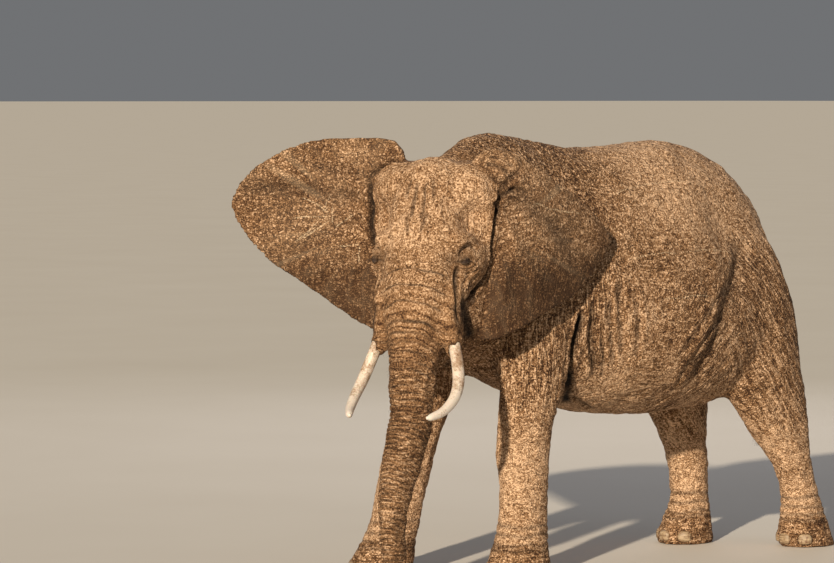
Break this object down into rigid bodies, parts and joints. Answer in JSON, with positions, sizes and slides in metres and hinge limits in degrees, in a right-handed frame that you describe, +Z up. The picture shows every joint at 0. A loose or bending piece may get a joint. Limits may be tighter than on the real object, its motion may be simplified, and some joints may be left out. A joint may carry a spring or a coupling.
{
  "type": "african elephant model",
  "caption": "Life-size African bush elephant cow in mid-stride, head turned to her left, one ear spread and one swept back, trunk hanging, standing on flat soles.",
  "frame": {"origin": "On the floor, under the middle of the whole part's box.", "axes": "+Z up; -Y the way the body faces, so the tail is towards +Y; +X to the animal's left. The head is turned 28 degrees from -Y towards +X."},
  "size_m": [1.573, 3.8144, 2.4861],
  "materials": {
    "skin": "dry wrinkled hide dusted with dried mud",
    "ivory": "smooth ivory, stained brown in its scratches",
    "horn": "worn dry horn",
    "eye": "wet dark brown",
    "tail_hair": "coarse black hair"
  },
  "bodies": {
    "root": {"barrel": "skin", "chest": "skin", "ear_left": "skin", "ear_right": "skin", "eye_left": "eye", "eye_right": "eye", "forefoot_left": "skin", "forefoot_right": "skin", "head": "skin", "hind_foot_left": "skin", "hind_foot_right": "skin", "lower_foreleg_left": "skin", "lower_foreleg_right": "skin", "lower_hindleg_left": "skin", "lower_hindleg_right": "skin", "lower_jaw": "skin", "nail_foreleg_left_1": "horn", "nail_foreleg_left_2": "horn", "nail_foreleg_left_3": "horn", "nail_foreleg_left_4": "horn", "nail_foreleg_right_1": "horn", "nail_foreleg_right_2": "horn", "nail_foreleg_right_3": "horn", "nail_foreleg_right_4": "horn", "nail_hindleg_left_1": "horn", "nail_hindleg_left_2": "horn", "nail_hindleg_left_3": "horn", "nail_hindleg_right_1": "horn", "nail_hindleg_right_2": "horn", "nail_hindleg_right_3": "horn", "neck": "skin", "rump": "skin", "tail": "skin", "tail_tuft": "tail_hair", "thigh_left": "skin", "thigh_right": "skin", "trunk_lower": "skin", "trunk_tip": "skin", "trunk_upper": "skin", "tusk_left": "ivory", "tusk_right": "ivory", "upper_foreleg_left": "skin", "upper_foreleg_right": "skin"}
  },
  "joints": []
}
